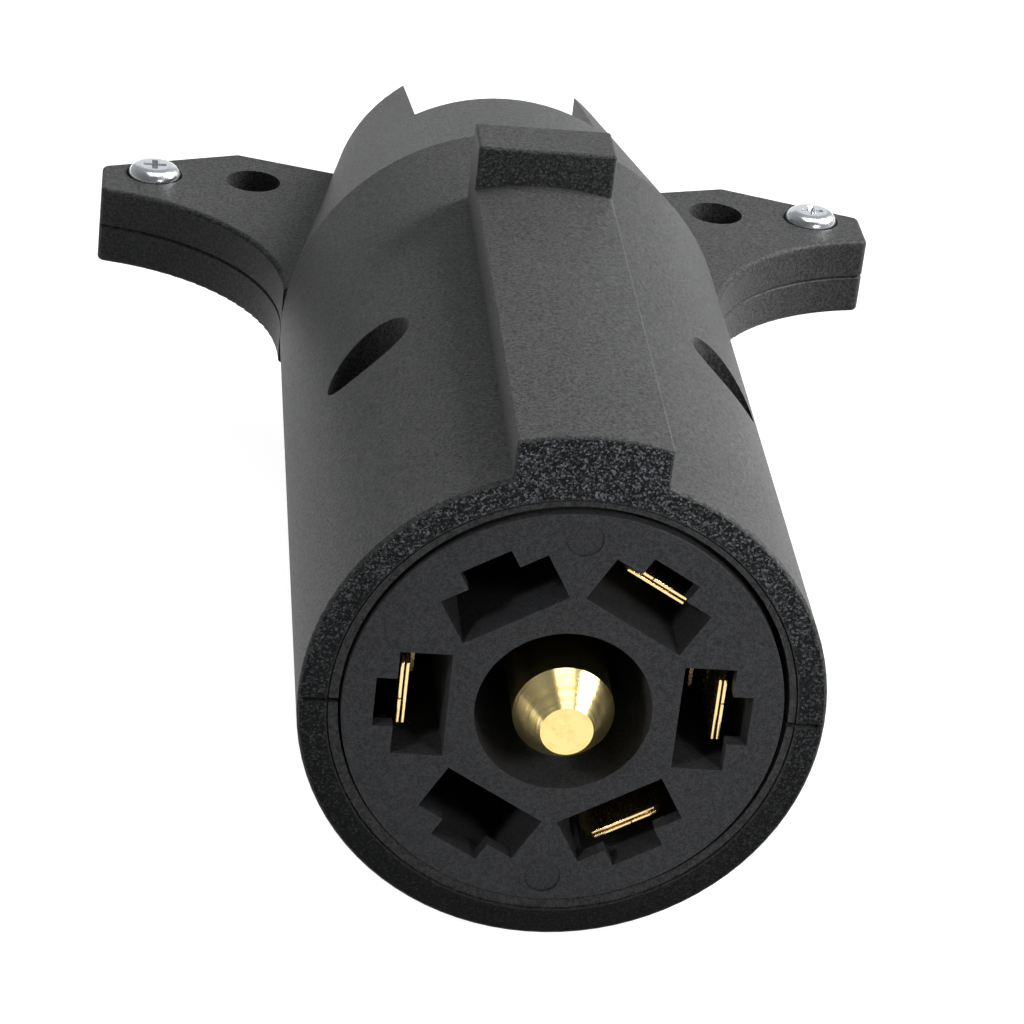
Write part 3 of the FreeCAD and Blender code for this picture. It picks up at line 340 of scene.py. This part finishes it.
# ---------------------------------------------------------------------------------------------
# Spring contacts and terminals: stamped brass strip, rolled bright on its faces and cut
# bright on its edges.
# ---------------------------------------------------------------------------------------------


scratch_size, scratch_depth = 0.0004, 0.000006
scratch_stretch = (4, 0.6, 4)
dull_strip, bright_strip = (0.78, 0.52, 0.20, 1), (0.98, 0.80, 0.45, 1)


def strip_brass(name):
    """Rolled brass with fine scratches along the barrel."""
    finish, tree, shader = new_finish(name)
    place = add(tree, "ShaderNodeTexCoord").outputs["Object"]
    smear = add(tree, "ShaderNodeMapping", {"Vector": place, "Scale": scratch_stretch}).outputs[0]
    scratch = noise(tree, smear, scratch_size, detail=4)
    tree.links.new(colour_mix(tree, scratch, dull_strip, bright_strip),
                   shader.inputs["Base Color"])
    tree.links.new(remap(tree, scratch, 0.3, 0.7, 0.32, 0.18), shader.inputs["Roughness"])
    tree.links.new(relief(tree, scratch, 0.4, scratch_depth), shader.inputs["Normal"])
    shader.inputs["Metallic"].default_value = 1.0
    return finish


rolled_brass = strip_brass("rolled_brass")
for circuit in circuits:
    paint(f"terminal_{circuit}", rolled_brass)


def start(operator, name, **settings):
    """A new primitive on its own, with everything else deselected."""
    bpy.ops.object.select_all(action="DESELECT")
    operator(**settings)
    piece = bpy.context.object
    piece.name = name
    return piece


def settle(piece):
    """Bakes a piece's place, turn and scale into its mesh."""
    bpy.ops.object.select_all(action="DESELECT")
    piece.select_set(True)
    bpy.context.view_layer.objects.active = piece
    bpy.ops.object.transform_apply(location=True, rotation=True, scale=True)


def pick(piece, kind, test):
    """Goes to edit mode with only the vertices, edges or faces chosen that pass the test."""
    bpy.context.view_layer.objects.active = piece
    bpy.ops.object.mode_set(mode="EDIT")
    bpy.ops.mesh.select_mode(type=kind)
    bpy.ops.mesh.select_all(action="DESELECT")
    bpy.ops.object.mode_set(mode="OBJECT")
    mesh = piece.data
    if kind == "VERT":
        for vertex in mesh.vertices:
            vertex.select = test(vertex.co)
    elif kind == "EDGE":
        for edge in mesh.edges:
            ends = [mesh.vertices[index].co for index in edge.vertices]
            edge.select = test(*ends)
    else:
        for face in mesh.polygons:
            face.select = test(face.center, face.normal)
    bpy.ops.object.mode_set(mode="EDIT")


def leave():
    bpy.ops.object.mode_set(mode="OBJECT")


def modify(piece, kind, **settings):
    """Adds a modifier and applies it at once."""
    bpy.ops.object.select_all(action="DESELECT")
    piece.select_set(True)
    bpy.context.view_layer.objects.active = piece
    modifier = piece.modifiers.new(kind.lower(), kind)
    for key, value in settings.items():
        setattr(modifier, key, value)
    bpy.ops.object.modifier_apply(modifier=modifier.name)


def join(name, pieces):
    """One mesh of several, with its normals turned outwards."""
    bpy.ops.object.select_all(action="DESELECT")
    for piece in pieces:
        piece.select_set(True)
    bpy.context.view_layer.objects.active = pieces[0]
    bpy.ops.object.join()
    whole = bpy.context.object
    whole.name = name
    whole.data.name = name
    bpy.ops.object.mode_set(mode="EDIT")
    bpy.ops.mesh.select_all(action="SELECT")
    bpy.ops.mesh.normals_make_consistent(inside=False)
    leave()
    bpy.ops.object.shade_smooth_by_angle(angle=radians(40))
    return whole


leaf_low, leaf_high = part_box("contact_leaf_ground")
leaf_front = leaf_low.y
bead_radius = 0.00045
pivot_depth = leaf_high.y - bead_radius
sheet_gauge = 0.00027
leaf_middle = leaf_low.x + bead_radius
layer_offset = 0.00021
straight_half = 0.00275
ear_steps = ((0.00016, 0.00055, 0.0010), (0.00038, 0.00050, 0.0011))
rear_slope = 4
slit_start, slit_end = 0.00052, 0.00060
strip_edge_round, bead_edge_round = 0.00005, 0.00010
hair = 1e-6


def leaf_layer(name, reach, low, high, ear_signs):
    """One layer of the strip between two heights, with its ears bent outwards."""
    layer = start(bpy.ops.mesh.primitive_plane_add, name, size=1, rotation=(0, pi / 2, 0),
                  location=(reach, (leaf_front + pivot_depth) / 2, (low + high) / 2))
    layer.scale = (high - low, pivot_depth - leaf_front, 1)
    settle(layer)
    for sign in ear_signs:
        edge_height = high if sign > 0 else low
        setback = leaf_front
        for out, rise, back in ear_steps:
            pick(layer, "EDGE", lambda a, b: max(abs(a.z - edge_height),
                                                 abs(b.z - edge_height)) < hair)
            bpy.ops.mesh.extrude_region_move(
                TRANSFORM_OT_translate={"value": (out, 0, rise * sign)})
            leave()
            edge_height += rise * sign
            pick(layer, "VERT", lambda v: abs(v.z - edge_height) < hair and v.y < setback + 1e-5)
            bpy.ops.transform.translate(value=(0, back, 0))
            leave()
            setback += back
            pick(layer, "VERT", lambda v: abs(v.z - edge_height) < hair and v.y > setback + 1e-3)
            bpy.ops.transform.translate(value=(0, -back * rear_slope, 0))
            leave()
    modify(layer, "SOLIDIFY", thickness=sheet_gauge, offset=0)
    modify(layer, "BEVEL", width=strip_edge_round, segments=2, limit_method="ANGLE",
           angle_limit=radians(50))
    return layer


inner_layer = leaf_layer("leaf_inner", leaf_middle - layer_offset, -straight_half, straight_half,
                         (-1, 1))
outer_low = leaf_layer("leaf_outer_low", leaf_middle + layer_offset, -straight_half, slit_start,
                       (-1,))
outer_high = leaf_layer("leaf_outer_high", leaf_middle + layer_offset, slit_end, straight_half,
                        (1,))
rolled_root = start(bpy.ops.mesh.primitive_cylinder_add, "rolled_root", vertices=32,
                    radius=bead_radius, depth=straight_half * 2,
                    location=(leaf_middle, pivot_depth, 0))
settle(rolled_root)
modify(rolled_root, "BEVEL", width=bead_edge_round, segments=3, limit_method="ANGLE",
       angle_limit=radians(50))
first_leaf = join("spring_leaf_ground", [inner_layer, outer_low, outer_high, rolled_root])
first_leaf.data.materials.clear()
first_leaf.data.materials.append(rolled_brass)

leaf_turns = {"ground": 0, "tail": 60, "left": 180, "right": 300}
for circuit, degrees in leaf_turns.items():
    if circuit == "ground":
        leaf = first_leaf
    else:
        leaf = first_leaf.copy()
        leaf.data = first_leaf.data.copy()
        leaf.name = leaf.data.name = f"spring_leaf_{circuit}"
        bpy.context.scene.collection.objects.link(leaf)
        leaf.rotation_euler = (0, -radians(degrees), 0)
        settle(leaf)
    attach(leaf, f"{circuit}_leaf")
    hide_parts(f"contact_leaf_{circuit}")

# ---------------------------------------------------------------------------------------------
# Rear insert: a softer black moulding that holds the four poles.
# ---------------------------------------------------------------------------------------------

paint("rear_insert", moulded_plastic("socket_black", dark=(0.010, 0.010, 0.011, 1),
                                     light=(0.034, 0.034, 0.036, 1), rough=0.62, gloss=0.15))

# ---------------------------------------------------------------------------------------------
# Screws and washer: cold-headed steel with bright zinc plating.
# ---------------------------------------------------------------------------------------------


frost_size, frost_depth = 0.0005, 0.00001
dull_zinc, clear_zinc = (0.70, 0.72, 0.76, 1), (0.92, 0.93, 0.95, 1)


def zinc_plate(name):
    """Zinc plating, cloudy in places."""
    finish, tree, shader = new_finish(name)
    place = add(tree, "ShaderNodeTexCoord").outputs["Object"]
    frost = noise(tree, place, frost_size, detail=4)
    tree.links.new(colour_mix(tree, frost, dull_zinc, clear_zinc),
                   shader.inputs["Base Color"])
    tree.links.new(remap(tree, frost, 0.3, 0.7, 0.28, 0.14), shader.inputs["Roughness"])
    tree.links.new(relief(tree, frost, 0.3, frost_depth), shader.inputs["Normal"])
    shader.inputs["Metallic"].default_value = 1.0
    return finish


bright_zinc = zinc_plate("bright_zinc")
paint("centre_pin_washer", bright_zinc)


crown_share = 0.62
point_share = 0.35
recess_taper = 0.5


def pan_head_screws(node, head_height, shank_radius, recess_span, recess_width, recess_depth):
    """The left and right screws of one node, each formed from one cylinder."""
    low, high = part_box(node)
    head_radius = (high.y - low.y) / 2
    middle_x, middle_y = high.x - head_radius, (high.y + low.y) / 2
    seat = high.z - head_height
    screw = start(bpy.ops.mesh.primitive_cylinder_add, node + "_right", vertices=64,
                  radius=head_radius, depth=head_height,
                  location=(middle_x, middle_y, seat + head_height / 2))
    settle(screw)
    pick(screw, "EDGE", lambda a, b: min(a.z, b.z) > high.z - hair)
    bpy.ops.mesh.bevel(offset=head_height * crown_share, segments=10, profile=0.5, affect="EDGES")
    leave()
    pick(screw, "FACE", lambda centre, normal: normal.z < -0.9)
    bpy.ops.mesh.inset(thickness=head_radius - shank_radius)
    bpy.ops.mesh.extrude_region_move(
        TRANSFORM_OT_translate={"value": (0, 0, low.z - seat + shank_radius)})
    bpy.ops.mesh.extrude_region_move(TRANSFORM_OT_translate={"value": (0, 0, -shank_radius)})
    bpy.ops.transform.resize(value=(point_share, point_share, 1))
    leave()
    for number, (span_x, span_y) in enumerate(((recess_span, recess_width),
                                               (recess_width, recess_span))):
        cutter = start(bpy.ops.mesh.primitive_cube_add, f"recess_{number}", size=1,
                       location=(middle_x, middle_y, high.z))
        cutter.scale = (span_x, span_y, recess_depth * 2)
        settle(cutter)
        pick(cutter, "FACE", lambda centre, normal: normal.z < -0.9)
        bpy.ops.transform.resize(value=(recess_taper, recess_taper, 1))
        leave()
        modify(screw, "BOOLEAN", operation="DIFFERENCE", object=cutter, solver="EXACT")
        bpy.data.objects.remove(cutter)
    left = screw.copy()
    left.data = screw.data.copy()
    bpy.context.scene.collection.objects.link(left)
    left.location.x -= middle_x * 2
    settle(left)
    pair = join(node + "_turned", [screw, left])
    pair.data.materials.clear()
    pair.data.materials.append(bright_zinc)
    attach(pair, "housing")
    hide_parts(node)


pan_head_screws("barrel_screws", head_height=0.0021, shank_radius=0.0015, recess_span=0.0034,
                recess_width=0.0009, recess_depth=0.0012)
pan_head_screws("wing_screws", head_height=0.0019, shank_radius=0.0014, recess_span=0.0031,
                recess_width=0.0008, recess_depth=0.0011)

# ---------------------------------------------------------------------------------------------
# Wires: stranded copper in coloured extruded insulation, shut inside the shells.
# ---------------------------------------------------------------------------------------------

wire_colours = {
    "ground": (0.80, 0.80, 0.78, 1), "tail": (0.18, 0.08, 0.03, 1),
    "left": (0.82, 0.60, 0.03, 1), "right": (0.03, 0.30, 0.08, 1),
}
haze_size = 0.002
haze_lift = 1.25
insulation_roughness = 0.38
for circuit, colour in wire_colours.items():
    finish, tree, shader = new_finish(f"insulation_{circuit}")
    place = add(tree, "ShaderNodeTexCoord").outputs["Object"]
    haze = noise(tree, place, haze_size)
    paler = tuple(min(1, channel * haze_lift) for channel in colour[:3]) + (1,)
    tree.links.new(colour_mix(tree, haze, colour, paler), shader.inputs["Base Color"])
    shader.inputs["Roughness"].default_value = insulation_roughness
    paint(f"wire_{circuit}", finish)
